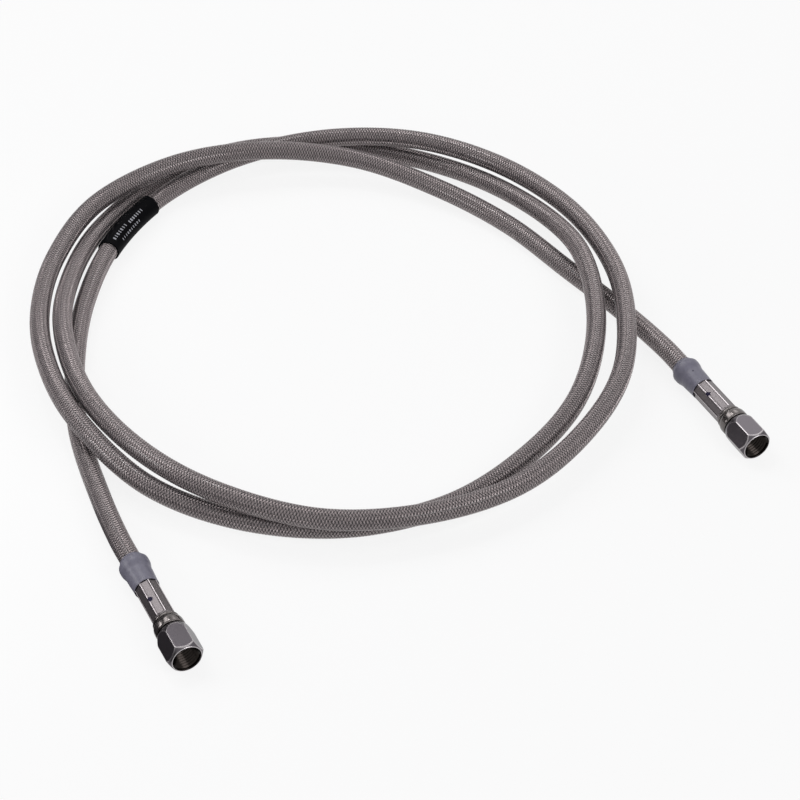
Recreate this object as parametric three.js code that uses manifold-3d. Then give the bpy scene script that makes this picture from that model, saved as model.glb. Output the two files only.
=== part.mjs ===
import * as THREE from 'three';
import { mergeVertices } from 'three/addons/utils/BufferGeometryUtils.js';
import Module from 'manifold-3d';

// Braided steel brake hose with a swivel nut at each end, lying in a loose coil on a flat surface.
// Millimetres, +Z up. The origin is midway between the two end fittings, on that surface.

// Hose, from the bore out
const linerBore = 3.4;
const linerWall = 0.55;
const braidWall = 0.475;
const coverWall = 0.525;
const layerGap = 0.25;

// Printed band on the hose, measured along it from the first fitting
const bandStart = 177;
const bandLength = 33;
const bandWall = 0.35;

// Shrink sleeve that seals the hose to the ferrule
const sleeveLength = 13.8;
const sleeveWall = 0.25;
const sleeveGap = 0.25;
const sleeveOverhang = 2.1;
const sleeveRise = 1.4;
const sleeveFall = 1.6;

// Crimp ferrule: a belled mouth, a crimped body and an inward lip at the front
const bellDepth = 1.8;
const bellWall = 0.7;
const ferruleLength = 28;
const ferruleWall = 0.875;
const ferruleLip = 1.2;
const ferruleEdge = 0.35;
const crimpCount = 8;
const crimpDepth = 0.25;
const crimpMargin = 1.6;
const crimpRunOut = 0.7;

// Nipple: a barbed tail, a lock ring, a collar, a neck and a head with a conical seat
const tailLength = 19;
const tailWall = 0.55;
const barbCount = 5;
const barbDepth = 0.22;
const lockRingWidth = 1.1;
const rootWall = 1.15;
const collarLength = 5.1;
const collarDiameter = 10.5;
const ringDiameter = 9.3;
const ringWidth = 0.9;
const grooveWidth = 0.3;
const grooveDepth = 0.35;
const beadRise = 1.7;
const beadFall = 0.9;
const beadDrop = 0.3;
const neckWall = 1.7;
const headLength = 3.0;
const seatAngle = 37;
const seatRim = 0.35;

// Swivel nut
const hexAcrossFlats = 11.11;
const nutLength = 12.8;
const nutWall = 1.43;
const nutRearWall = 2.6;
const nutBackWidth = 9.5;
const backTaper = 3.8;
const frontTaper = 1.75;
const mouthChamfer = 0.75;
const frontLand = 0.3;

// Clearances
const seatGap = 0.3;
const spinGap = 0.35;
const headGap = 0.42;
const bandRestGap = 0.1;

// Facets
const hoseSides = 10;
const coreSides = 8;
const stationSpacing = 25;
const sleeveSegments = 18;
const ferruleSegments = 24;
const nippleSegments = 16;
const nutSegments = 36;

// Radii of the hose's layers
const linerInner = linerBore / 2;
const linerOuter = linerInner + linerWall;
const braidInner = linerOuter + layerGap;
const braidOuter = braidInner + braidWall;
const coverInner = braidOuter + layerGap;
const coverOuter = coverInner + coverWall;
const bandInner = coverOuter + layerGap;
const bandOuter = bandInner + bandWall;

// Radii of the ferrule and the nipple
const bellInner = coverOuter + seatGap;
const bellOuter = bellInner + bellWall;
const ferruleBore = braidOuter + seatGap;
const ferruleOuter = ferruleBore + ferruleWall;
const tailRadius = linerInner - layerGap;
const nippleBore = tailRadius - tailWall;
const lockRingRadius = ferruleBore - seatGap;
const rootRadius = nippleBore + rootWall;
const lipRadius = rootRadius + seatGap;
const ringRadius = ringDiameter / 2;
const beadRadius = collarDiameter / 2;
const neckRadius = nippleBore + neckWall;
const nutHole = neckRadius + spinGap;
const threadRadius = hexAcrossFlats / 2 - nutWall;
const headRadius = threadRadius - headGap;
const hexCorner = hexAcrossFlats / 2 / Math.cos( Math.PI / 6 );
const cutOver = hexCorner * 0.15;

// Stations along a fitting's axis, from the sleeve's rear end towards the nut's mouth
const bellFloor = sleeveOverhang + bellDepth;
const coverEnd = bellFloor - seatGap;
const ferruleFront = sleeveOverhang + ferruleLength;
const lipBack = ferruleFront - ferruleLip;
const lockRingFront = lipBack - seatGap;
const lockRingBack = lockRingFront - lockRingWidth;
const braidEnd = lockRingBack - seatGap;
const collarBack = ferruleFront + seatGap;
const collarFront = collarBack + collarLength;
const nutBack = collarFront + seatGap;
const nutFront = nutBack + nutLength;
const headBack = nutBack + nutRearWall + seatGap;
const headFront = headBack + headLength;

// Route of the hose's centre line between the two sleeves. Each fitting lies on a flat of its nut,
// in line with the route's last two points at that end.
const nutRest = hexAcrossFlats / 2;
const bandRest = bandOuter + bandRestGap;
const route = [
	[ - 107.8, - 28.05, nutRest ], [ - 112.75, - 17.95, nutRest ], [ - 121.4, 4, 4.5 ],
	[ - 132.8, 39.6, 3.8 ], [ - 137.8, 75, 3.8 ], [ - 137.8, 112, 3.8 ], [ - 130.4, 148, bandRest ],
	[ - 112.8, 180.6, bandRest ], [ - 83.8, 203.6, 6.5 ], [ - 48.8, 211, 10.5 ], [ - 12.8, 207, 12.5 ],
	[ 19.2, 191.2, 12.3 ], [ 45, 164.5, 12 ], [ 59, 135.4, 12 ], [ 64.6, 105.6, 12 ],
	[ 61, 63, 10.5 ], [ 45, 31.2, 9 ], [ 21.6, 6, 8.5 ], [ - 9.4, - 9, 9.5 ], [ - 45.4, - 13.8, 11.5 ],
	[ - 80.6, - 3.2, 13.8 ], [ - 107.4, 16.8, 13.9 ], [ - 130.4, 48.6, 12.7 ], [ - 142.8, 86.6, 11 ],
	[ - 144.4, 117.6, 8 ], [ - 137.4, 154.6, 5 ], [ - 117.8, 188, 3.8 ], [ - 88.8, 210.6, 3.8 ],
	[ - 51.8, 216, 3.8 ], [ - 16.4, 207.6, 3.8 ], [ 15.6, 187.6, 5.6 ], [ 40.8, 156, 9.4 ],
	[ 51, 129.5, 12 ], [ 53.6, 90, 10.5 ], [ 44.6, 52, 8 ], [ 26.2, 25, 5.5 ], [ - 1.4, 1.6, 3.8 ],
	[ - 35.8, - 9.8, 3.8 ], [ - 72.8, - 7.4, 5 ], [ - 104.8, 5.6, 8.5 ], [ - 131.4, 34.6, 12 ],
	[ - 144.8, 62, 12 ], [ - 152.4, 95, 10.5 ], [ - 150.6, 130.9, 10.5 ], [ - 137.4, 164.8, 12 ],
	[ - 107.4, 189.4, 13.5 ], [ - 72.4, 199.5, 12.5 ], [ - 36.4, 197.6, 9.5 ], [ - 3.8, 182, 6.5 ],
	[ 23.4, 160.5, 4.5 ], [ 45.6, 132.4, 3.8 ], [ 67.4, 103, 3.8 ], [ 79.35, 81.55, nutRest ],
	[ 84.2, 72, nutRest ],
].map( ( [ x, y, z ] ) => new THREE.Vector3( x, y, z ) );

const steel = { roughness: 0.35, metalness: 1 };
const linerMaterial = new THREE.MeshStandardMaterial( { color: 0xe9e6df, roughness: 0.5 } );
const braidMaterial = new THREE.MeshStandardMaterial( { color: 0x8d8584, ...steel } );
const coverMaterial = new THREE.MeshStandardMaterial( {
	color: 0xb9b1b1, roughness: 0.25, transparent: true, opacity: 0.4
} );
const bandMaterial = new THREE.MeshStandardMaterial( { color: 0x1d1c1f, roughness: 0.45 } );
const sleeveMaterial = new THREE.MeshStandardMaterial( { color: 0x63636d, roughness: 0.5 } );
const ferruleMaterial = new THREE.MeshStandardMaterial( { color: 0xa19c9b, ...steel } );
const nippleMaterial = new THREE.MeshStandardMaterial( { color: 0xa8a3a1, ...steel } );
const nutMaterial = new THREE.MeshStandardMaterial( { color: 0x6e6866, ...steel } );

const { Manifold, Mesh: SolidMesh } = await solidLibrary();

async function solidLibrary() {

	const wasm = await Module();
	wasm.setup();
	return wasm;

}

function named( name, geometry, material ) {

	const mesh = new THREE.Mesh( geometry, material );
	mesh.name = name;
	return mesh;

}

// A revolved solid. The profile's points are [ radius, station ], the outer side first, going forward.
function turned( profile, segments, phiStart = 0 ) {

	const points = profile.map( ( [ radius, station ] ) => new THREE.Vector2( radius, station ) );
	return new THREE.LatheGeometry( points, segments, phiStart );

}

function closedLoop( profile ) {

	return [ ...profile, profile[ 0 ] ];

}

function toSolid( geometry ) {

	const bare = geometry.clone();
	bare.deleteAttribute( 'normal' );
	bare.deleteAttribute( 'uv' );
	const welded = mergeVertices( bare, 1e-4 );
	return new Manifold( new SolidMesh( {
		numProp: 3,
		vertProperties: new Float32Array( welded.attributes.position.array ),
		triVerts: new Uint32Array( welded.index.array )
	} ) );

}

function toGeometry( solid ) {

	const { vertProperties, triVerts } = solid.getMesh();
	const geometry = new THREE.BufferGeometry();
	geometry.setAttribute( 'position', new THREE.BufferAttribute( vertProperties, 3 ) );
	geometry.setIndex( new THREE.BufferAttribute( triVerts, 1 ) );
	geometry.computeVertexNormals();
	return geometry;

}

// Hose

// A run of fixed stations, shared by all the layers, whose sections stay upright.
class StationPath extends THREE.Curve {

	constructor( stations ) {

		super();
		this.stations = stations;

	}

	getSpacedPoints() {

		return this.stations.map( ( station ) => station.point );

	}

	computeFrenetFrames() {

		const up = new THREE.Vector3( 0, 0, 1 );
		const tangents = this.stations.map( ( station ) => station.direction );
		const binormals = tangents.map( ( t ) => t.clone().cross( up ).normalize() );
		const normals = tangents.map( ( t, k ) => binormals[ k ].clone().cross( t ) );
		return { tangents, normals, binormals };

	}

}

function axisAt( end, lead ) {

	return end.clone().sub( lead ).normalize();

}

const firstEnd = route[ 0 ];
const firstAxis = axisAt( firstEnd, route[ 1 ] );
const lastEnd = route[ route.length - 1 ];
const lastAxis = axisAt( lastEnd, route[ route.length - 2 ] );

// Distances along the route, closely even, with one at each end and at the middle of the band.
function stationDistances( length ) {

	const marks = [ 0, bandStart, bandStart + bandLength / 2, bandStart + bandLength, length ];
	const distances = [ 0 ];
	for ( let k = 1; k < marks.length; k ++ ) {

		const span = marks[ k ] - marks[ k - 1 ];
		const steps = Math.round( span / stationSpacing + 0.2 );
		for ( let step = 1; step <= steps; step ++ ) distances.push( marks[ k - 1 ] + span * step / steps );

	}

	return distances;

}

function routeStations() {

	const curve = new THREE.CatmullRomCurve3( route, false, 'centripetal' );
	curve.arcLengthDivisions = 60 * route.length;
	const length = curve.getLength();
	const stations = stationDistances( length ).map( ( distance ) => {

		const point = curve.getPointAt( distance / length );
		point.z = Math.max( point.z, coverOuter );
		return { distance, point, direction: curve.getTangentAt( distance / length ) };

	} );
	stations[ 0 ].direction = firstAxis.clone().negate();
	stations[ stations.length - 1 ].direction = lastAxis.clone();
	return stations;

}

const stations = routeStations();

// The whole run, carried on straight into both fittings as far as the layer goes.
function layerPath( reach ) {

	const start = firstEnd.clone().addScaledVector( firstAxis, reach );
	const end = lastEnd.clone().addScaledVector( lastAxis, reach );
	return new StationPath( [
		{ point: start, direction: firstAxis.clone().negate() },
		...stations,
		{ point: end, direction: lastAxis.clone() }
	] );

}

function polygon( radius, sides ) {

	return Array.from( { length: sides }, ( _, k ) => {

		const angle = 2 * Math.PI * k / sides;
		return new THREE.Vector2( radius * Math.cos( angle ), radius * Math.sin( angle ) );

	} );

}

function tube( path, outer, inner, sides ) {

	const section = new THREE.Shape( polygon( outer, sides ) );
	section.holes.push( new THREE.Path( polygon( inner, sides ) ) );
	return new THREE.ExtrudeGeometry( section, { steps: path.stations.length - 1, extrudePath: path } );

}

function hose() {

	const bandMiddle = bandStart + bandLength / 2;
	const onBand = ( { distance } ) => Math.abs( distance - bandMiddle ) < bandLength / 2 + bandRestGap;
	const bandPath = new StationPath( stations.filter( onBand ) );
	const core = layerPath( braidEnd );
	const group = new THREE.Group();
	group.add(
		named( 'hose_liner', tube( core, linerOuter, linerInner, coreSides ), linerMaterial ),
		named( 'steel_braid', tube( core, braidOuter, braidInner, coreSides ), braidMaterial ),
		named( 'clear_cover', tube( layerPath( coverEnd ), coverOuter, coverInner, hoseSides ), coverMaterial ),
		named( 'label_sleeve', tube( bandPath, bandOuter, bandInner, hoseSides ), bandMaterial )
	);
	return group;

}

// End fitting, along its own +Y from the sleeve's rear end to the nut's mouth, with +Z up

// Radius that the shrunk sleeve is drawn down to: the hose, the bell, then the ferrule's body.
function sleeveCore( station ) {

	const rise = THREE.MathUtils.smoothstep( station, sleeveOverhang - sleeveRise, sleeveOverhang );
	const fall = THREE.MathUtils.smoothstep( station, bellFloor, bellFloor + sleeveFall );
	return coverOuter + ( bellOuter - coverOuter ) * rise - ( bellOuter - ferruleOuter ) * fall;

}

function shrinkSleeve() {

	const slopeSteps = 3;
	const spots = [ 0 ];
	for ( let k = 0; k <= slopeSteps; k ++ ) spots.push( sleeveOverhang - sleeveRise * ( 1 - k / slopeSteps ) );
	for ( let k = 0; k <= slopeSteps; k ++ ) spots.push( bellFloor + sleeveFall * k / slopeSteps );
	spots.push( sleeveLength );
	const skin = ( offset ) => spots.map( ( station ) => [ sleeveCore( station ) + offset, station ] );
	const inner = skin( sleeveGap ).reverse();
	return turned( closedLoop( [ ...skin( sleeveGap + sleeveWall ), ...inner ] ), sleeveSegments );

}

// Presses flats into the ferrule's body: a ring of points at the crimp moves in to the flats.
function pressFlats( geometry, from, to ) {

	const place = geometry.attributes.position;
	const flatAngle = 2 * Math.PI / crimpCount;
	const reach = ( to - from + crimpRunOut ) / 2;
	for ( let k = 0; k < place.count; k ++ ) {

		const radius = Math.hypot( place.getX( k ), place.getZ( k ) );
		const onRim = radius > ( ferruleOuter + ferruleBore ) / 2;
		if ( ! onRim || Math.abs( place.getY( k ) - ( from + to ) / 2 ) > reach ) continue;
		const turn = Math.atan2( place.getX( k ), place.getZ( k ) ) / flatAngle;
		const offFlat = ( turn - Math.floor( turn ) - 0.5 ) * flatAngle;
		const pressed = Math.min( 1, ( 1 - crimpDepth / ferruleOuter ) / Math.cos( offFlat ) );
		place.setX( k, place.getX( k ) * pressed );
		place.setZ( k, place.getZ( k ) * pressed );

	}

	geometry.computeVertexNormals();
	return geometry;

}

function crimpFerrule() {

	const shoulder = bellFloor + bellOuter - ferruleOuter;
	const crimpBack = shoulder + crimpMargin;
	const crimpFront = lipBack - crimpMargin;
	const body = turned( closedLoop( [
		[ bellInner, sleeveOverhang ],
		[ bellOuter, sleeveOverhang ],
		[ bellOuter, bellFloor ],
		[ ferruleOuter, shoulder ],
		[ ferruleOuter, crimpBack - crimpRunOut ],
		[ ferruleOuter, crimpBack ],
		[ ferruleOuter, crimpFront ],
		[ ferruleOuter, crimpFront + crimpRunOut ],
		[ ferruleOuter, ferruleFront - ferruleEdge ],
		[ ferruleOuter - ferruleEdge, ferruleFront ],
		[ lipRadius, ferruleFront ],
		[ lipRadius, lipBack ],
		[ ferruleBore, lipBack ],
		[ ferruleBore, bellFloor ],
		[ bellInner, bellFloor ]
	] ), ferruleSegments );
	return pressFlats( body, crimpBack, crimpFront );

}

// Barbs on the tail: each one rises towards the head and then drops back to the root.
function barbs() {

	const back = lockRingBack - tailLength;
	const pitch = tailLength / ( barbCount + 1 );
	const points = [];
	for ( let k = 0; k < barbCount; k ++ ) {

		points.push( [ tailRadius - barbDepth, back + pitch * k ], [ tailRadius, back + pitch * ( k + 0.85 ) ] );

	}

	points.push( [ tailRadius - barbDepth, back + pitch * barbCount ], [ tailRadius - barbDepth, lockRingBack ] );
	return points;

}

// The collar's outline: a thin ring at the back, a groove, and a long rounded bead.
function collar() {

	const roundSteps = 3;
	const ringEdge = ringWidth * 0.2;
	const beadBack = collarBack + ringWidth + grooveWidth;
	const groove = ringRadius - grooveDepth;
	const points = [
		[ ringRadius - ringEdge, collarBack ],
		[ ringRadius, collarBack + ringEdge ],
		[ ringRadius, collarBack + ringWidth - ringEdge ],
		[ groove, collarBack + ringWidth ],
		[ groove, beadBack ]
	];
	for ( let k = 1; k <= roundSteps; k ++ ) {

		const angle = Math.PI / 2 * k / roundSteps;
		const radius = groove + ( beadRadius - groove ) * Math.sin( angle );
		points.push( [ radius, beadBack + beadRise * ( 1 - Math.cos( angle ) ) ] );

	}

	points.push( [ beadRadius, collarFront - beadFall ], [ beadRadius - beadDrop, collarFront ] );
	return points;

}

function nipple() {

	const seatMouth = headRadius - seatRim;
	const seatDepth = ( seatMouth - nippleBore ) / Math.tan( seatAngle * Math.PI / 180 );
	return turned( closedLoop( [
		[ nippleBore, lockRingBack - tailLength ],
		...barbs(),
		[ lockRingRadius, lockRingBack ],
		[ lockRingRadius, lockRingFront ],
		[ rootRadius, lockRingFront ],
		[ rootRadius, collarBack ],
		...collar(),
		[ neckRadius, collarFront ],
		[ neckRadius, headBack ],
		[ headRadius, headBack ],
		[ headRadius, headFront ],
		[ seatMouth, headFront ],
		[ nippleBore, headFront - seatDepth ]
	] ), nippleSegments );

}

// The nut's outside: a hexagonal bar whose corners are turned down at both ends, rounder at the back.
function nutBar() {

	const backRadius = nutBackWidth / 2;
	const frontRadius = threadRadius + mouthChamfer + frontLand;
	const bellyRadius = THREE.MathUtils.lerp( backRadius, hexCorner, 0.55 );
	const belly = nutBack + backTaper * 0.38;
	const backSlope = ( nutBack + backTaper - belly ) / ( hexCorner - bellyRadius );
	const frontSlope = frontTaper / ( hexCorner - frontRadius );
	const bar = turned( [ [ 0, nutBack ], [ hexCorner, nutBack ], [ hexCorner, nutFront ], [ 0, nutFront ] ],
		6, Math.PI / 6 );
	const envelope = turned( [
		[ 0, nutBack ],
		[ backRadius, nutBack ],
		[ bellyRadius, belly ],
		[ hexCorner + cutOver, belly + ( hexCorner + cutOver - bellyRadius ) * backSlope ],
		[ hexCorner + cutOver, nutFront - ( hexCorner + cutOver - frontRadius ) * frontSlope ],
		[ frontRadius, nutFront ],
		[ 0, nutFront ]
	], nutSegments );
	return toSolid( bar ).intersect( toSolid( envelope ) );

}

function swivelNut() {

	const mouthRadius = threadRadius + mouthChamfer;
	const bore = turned( [
		[ 0, nutBack - cutOver ],
		[ nutHole, nutBack - cutOver ],
		[ nutHole, nutBack + nutRearWall ],
		[ threadRadius, nutBack + nutRearWall ],
		[ threadRadius, nutFront - mouthChamfer ],
		[ mouthRadius + cutOver, nutFront + cutOver ],
		[ 0, nutFront + cutOver ]
	], nutSegments );
	return toGeometry( nutBar().subtract( toSolid( bore ) ) );

}

function endFitting( side, end, axis ) {

	const group = new THREE.Group();
	const up = new THREE.Vector3( 0, 0, 1 );
	const across = axis.clone().cross( up );
	group.quaternion.setFromRotationMatrix( new THREE.Matrix4().makeBasis( across, axis, up ) );
	group.position.copy( end );
	group.add(
		named( `heat_shrink_${ side }`, shrinkSleeve(), sleeveMaterial.clone() ),
		named( `crimp_ferrule_${ side }`, crimpFerrule(), ferruleMaterial.clone() ),
		named( `nipple_${ side }`, nipple(), nippleMaterial.clone() ),
		named( `swivel_nut_${ side }`, swivelNut(), nutMaterial.clone() )
	);
	return group;

}

const brakeHose = new THREE.Group();
brakeHose.name = 'brake_hose';
brakeHose.add( hose(), endFitting( 'a', firstEnd, firstAxis ), endFitting( 'b', lastEnd, lastAxis ) );

export default brakeHose;
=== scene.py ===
import math
import re

import bpy
import numpy as np
from mathutils import Matrix, Vector


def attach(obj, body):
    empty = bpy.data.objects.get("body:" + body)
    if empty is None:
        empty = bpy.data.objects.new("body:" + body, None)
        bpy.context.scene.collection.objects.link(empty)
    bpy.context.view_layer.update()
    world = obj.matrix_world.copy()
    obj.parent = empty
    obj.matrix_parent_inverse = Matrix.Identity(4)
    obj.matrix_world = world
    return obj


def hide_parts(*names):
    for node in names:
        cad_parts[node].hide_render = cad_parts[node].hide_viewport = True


# Braided brake hose in a loose coil, with a crimped fitting and a swivel nut at each end.
# Metres, +Z up. Each end fitting is measured along its own axis, from the back of its
# shrink sleeve to the mouth of its nut. The sizes of its four pieces are in millimetres.

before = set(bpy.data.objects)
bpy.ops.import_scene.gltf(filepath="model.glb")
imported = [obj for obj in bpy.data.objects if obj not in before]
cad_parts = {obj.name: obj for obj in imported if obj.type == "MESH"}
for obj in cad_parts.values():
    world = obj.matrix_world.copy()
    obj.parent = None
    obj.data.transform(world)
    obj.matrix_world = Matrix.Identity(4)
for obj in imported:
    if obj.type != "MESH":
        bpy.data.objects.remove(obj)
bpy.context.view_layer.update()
mm = 0.001
print("frame loaded")

# Camera

camera = {
    "target": Vector((-0.01885, 0.06005, 0)),
    "distance": 0.833,
    "elevation": 41,
    "lens": 103.5,
    "sensor": 36,
    "nearest": 0.01,
}


def makeCamera():
    data = bpy.data.cameras.new("camera")
    data.lens = camera["lens"]
    data.sensor_width = camera["sensor"]
    data.clip_start = camera["nearest"]
    obj = bpy.data.objects.new("camera", data)
    tilt = math.radians(camera["elevation"])
    away = Vector((0, -math.cos(tilt), math.sin(tilt)))
    obj.location = camera["target"] + away * camera["distance"]
    obj.rotation_euler = (math.pi / 2 - tilt, 0, 0)
    bpy.context.scene.collection.objects.link(obj)
    bpy.context.scene.camera = obj


makeCamera()
print("camera placed")

# Route of the hose's centre line between the two shrink sleeves

hose = {
    "coverRadius": 3.75 * mm,
    "coverBore": 3.68 * mm,
    "braidRadius": 3.52 * mm,
    "braidBore": 2.5 * mm,
    "linerRadius": 2.25 * mm,
    "linerBore": 1.7 * mm,
    "coverReach": 3.6 * mm,      # how far each layer runs into a fitting
    "coreReach": 27.2 * mm,
    "ringSpacing": 2.1 * mm,
    "routeSteps": 40,            # finer steps between two points of the route, before it is evened out
    "sides": 32,
    "linerSides": 16,
    "linerGrain": 900.0,         # a grain is the scale of a material's noise
    "linerTones": ((226, 224, 218), (240, 239, 234)),
    "sharpAngle": 60,
    "nutRest": 5.555 * mm,
    "bandRest": 4.45 * mm,
    "length": 1.859,
}

route = [Vector(point) for point in [
    (-0.1078, -0.02805, hose["nutRest"]), (-0.11275, -0.01795, hose["nutRest"]), (-0.1214, 0.004, 0.0045),
    (-0.1328, 0.0396, 0.0038), (-0.1378, 0.075, 0.0038), (-0.1378, 0.112, 0.0038),
    (-0.1304, 0.148, hose["bandRest"]), (-0.1128, 0.1806, hose["bandRest"]), (-0.0838, 0.2036, 0.0065),
    (-0.0488, 0.211, 0.0105), (-0.0128, 0.207, 0.0125), (0.0192, 0.1912, 0.0123), (0.045, 0.1645, 0.012),
    (0.059, 0.1354, 0.012), (0.0646, 0.1056, 0.012), (0.061, 0.063, 0.0105), (0.045, 0.0312, 0.009),
    (0.0216, 0.006, 0.0085), (-0.0094, -0.009, 0.0095), (-0.0454, -0.0138, 0.0115),
    (-0.0806, -0.0032, 0.0138), (-0.1074, 0.0168, 0.0139), (-0.1304, 0.0486, 0.0127),
    (-0.1428, 0.0866, 0.011), (-0.1444, 0.1176, 0.008), (-0.1374, 0.1546, 0.005), (-0.1178, 0.188, 0.0038),
    (-0.0888, 0.2106, 0.0038), (-0.0518, 0.216, 0.0038), (-0.0164, 0.2076, 0.0038),
    (0.0156, 0.1876, 0.0056), (0.0408, 0.156, 0.0094), (0.051, 0.1295, 0.012), (0.0536, 0.09, 0.0105),
    (0.0446, 0.052, 0.008), (0.0262, 0.025, 0.0055), (-0.0014, 0.0016, 0.0038), (-0.0358, -0.0098, 0.0038),
    (-0.0728, -0.0074, 0.005), (-0.1048, 0.0056, 0.0085), (-0.1314, 0.0346, 0.012),
    (-0.1448, 0.062, 0.012), (-0.1524, 0.095, 0.0105), (-0.1506, 0.1309, 0.0105), (-0.1374, 0.1648, 0.012),
    (-0.1074, 0.1894, 0.0135), (-0.0724, 0.1995, 0.0125), (-0.0364, 0.1976, 0.0095),
    (-0.0038, 0.182, 0.0065), (0.0234, 0.1605, 0.0045), (0.0456, 0.1324, 0.0038), (0.0674, 0.103, 0.0038),
    (0.07935, 0.08155, hose["nutRest"]), (0.0842, 0.072, hose["nutRest"]),
]]
endA, endB = route[0], route[-1]
axisA = (route[0] - route[1]).normalized()
axisB = (route[-1] - route[-2]).normalized()


def smoothRun(points, spacing):
    # centripetal Catmull-Rom through the points, resampled to even steps
    knots = np.array([list(point) for point in points])
    knots = np.vstack([2 * knots[0] - knots[1], knots, 2 * knots[-1] - knots[-2]])
    share = np.linspace(0, 1, hose["routeSteps"], endpoint=False)[:, None]
    dense = []
    for k in range(1, len(knots) - 2):
        p0, p1, p2, p3 = knots[k - 1:k + 3]
        d0, d1, d2 = [math.sqrt(np.linalg.norm(b - a)) for a, b in ((p0, p1), (p1, p2), (p2, p3))]
        t1 = ((p1 - p0) / d0 - (p2 - p0) / (d0 + d1) + (p2 - p1) / d1) * d1
        t2 = ((p2 - p1) / d1 - (p3 - p1) / (d1 + d2) + (p3 - p2) / d2) * d1
        dense.append(p1 + t1 * share + (3 * (p2 - p1) - 2 * t1 - t2) * share ** 2
                     + (2 * (p1 - p2) + t1 + t2) * share ** 3)
    dense = np.vstack(dense + [knots[-2][None, :]])
    walked = np.concatenate([[0], np.cumsum(np.linalg.norm(np.diff(dense, axis=0), axis=1))])
    even = np.linspace(0, walked[-1], round(walked[-1] / spacing) + 1)
    run = np.stack([np.interp(even, walked, dense[:, k]) for k in range(3)], axis=1)
    run[:, 2] = np.maximum(run[:, 2], hose["coverRadius"])
    return even, run


runDistance, run = smoothRun(route, hose["ringSpacing"])
print("route laid,", round(runDistance[-1], 3), "m between the sleeves")


# Mesh helpers

def pathFrames(points):
    # upright sections: the first direction points up, the second across
    ahead = np.gradient(points, axis=0)
    ahead /= np.linalg.norm(ahead, axis=1)[:, None]
    across = np.cross(ahead, (0, 0, 1))
    across /= np.linalg.norm(across, axis=1)[:, None]
    return ahead, np.cross(across, ahead), across


def closedGrid(name, points, along, material, sharpAngle, inside=None):
    # points[row][column] closes on itself both ways; along gives each row's place for the UV map;
    # inside is the row from which a second material begins, and that material
    rows, columns = points.shape[:2]
    index = np.arange(rows * columns).reshape(rows, columns)
    nextRow, nextColumn = np.roll(index, -1, axis=0), np.roll(index, -1, axis=1)
    corner = np.roll(nextRow, -1, axis=1)
    quads = np.stack([index, nextColumn, corner, nextRow], axis=-1).reshape(-1, 4)
    mesh = bpy.data.meshes.new(name)
    mesh.from_pydata(points.reshape(-1, 3).tolist(), [], quads.tolist())
    turn = np.arange(columns + 1) / columns
    place = np.append(along, along[0])
    uv = np.empty((rows, columns, 4, 2))
    uv[..., 0, 0] = uv[..., 3, 0] = turn[:-1]
    uv[..., 1, 0] = uv[..., 2, 0] = turn[1:]
    uv[..., 0, 1] = uv[..., 1, 1] = place[:-1, None]
    uv[..., 2, 1] = uv[..., 3, 1] = place[1:, None]
    mesh.uv_layers.new(name="wrap").data.foreach_set("uv", uv.ravel())
    mesh.shade_smooth()
    mesh.set_sharp_from_angle(angle=math.radians(sharpAngle))
    mesh.materials.append(material)
    if inside:
        mesh.materials.append(inside[1])
        rowOfQuad = np.repeat(np.arange(rows), columns)
        mesh.polygons.foreach_set("material_index", (rowOfQuad >= inside[0]).astype(np.int32))
    return addObject(name, mesh)


def addObject(name, data):
    obj = bpy.data.objects.new(name, data)
    bpy.context.scene.collection.objects.link(obj)
    return obj


def tubeGrid(points, outer, inner, sides):
    _, upward, across = pathFrames(points)
    angle = np.arange(sides) * 2 * math.pi / sides
    spoke = np.cos(angle)[None, :, None] * upward[:, None] + np.sin(angle)[None, :, None] * across[:, None]
    rings = [points[:, None] + spoke * radius for radius in (outer, inner)]
    return np.concatenate([rings[0], rings[1][::-1]])


def fittingGrid(end, axis, radius, station):
    # radius and station are [row][column] values around a fitting's own axis
    columns = radius.shape[1]
    angle = np.arange(columns) * 2 * math.pi / columns
    across = axis.cross(Vector((0, 0, 1)))
    spoke = np.cos(angle)[:, None] * np.array([0, 0, 1.0]) + np.sin(angle)[:, None] * np.array(across)
    return np.array(end) + station[..., None] * np.array(axis) + radius[..., None] * spoke


def addPaintedLight(piece, wear):
    # painted light at each point: 1 is a painted highlight (bright), -1 is painted shade (dark)
    piece.data.attributes.new("wear", "FLOAT", "POINT").data.foreach_set("value", wear.ravel())


def turnedPiece(name, end, axis, profile, columns, material, sharpAngle):
    # profile rows are (radius, station) in millimetres, the outer side first, going forward
    rows = np.array(profile) * mm
    radius = np.repeat(rows[:, :1], columns, axis=1)
    station = np.repeat(rows[:, 1:], columns, axis=1)
    return closedGrid(name, fittingGrid(end, axis, radius, station), rows[:, 1], material, sharpAngle)


# Shader helpers

class Value:
    # a node's output, so that shader sums can be written as expressions

    def __init__(self, finish, socket):
        self.finish = finish
        self.socket = socket

    def __add__(self, other):
        return self.finish.math("ADD", self, other)

    def __radd__(self, other):
        return self.finish.math("ADD", other, self)

    def __sub__(self, other):
        return self.finish.math("SUBTRACT", self, other)

    def __rsub__(self, other):
        return self.finish.math("SUBTRACT", other, self)

    def __mul__(self, other):
        return self.finish.math("MULTIPLY", self, other)

    def __rmul__(self, other):
        return self.finish.math("MULTIPLY", other, self)

    def clamped(self):
        return self.finish.math("MINIMUM", self.finish.math("MAXIMUM", self, 0.0), 1.0)


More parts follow.
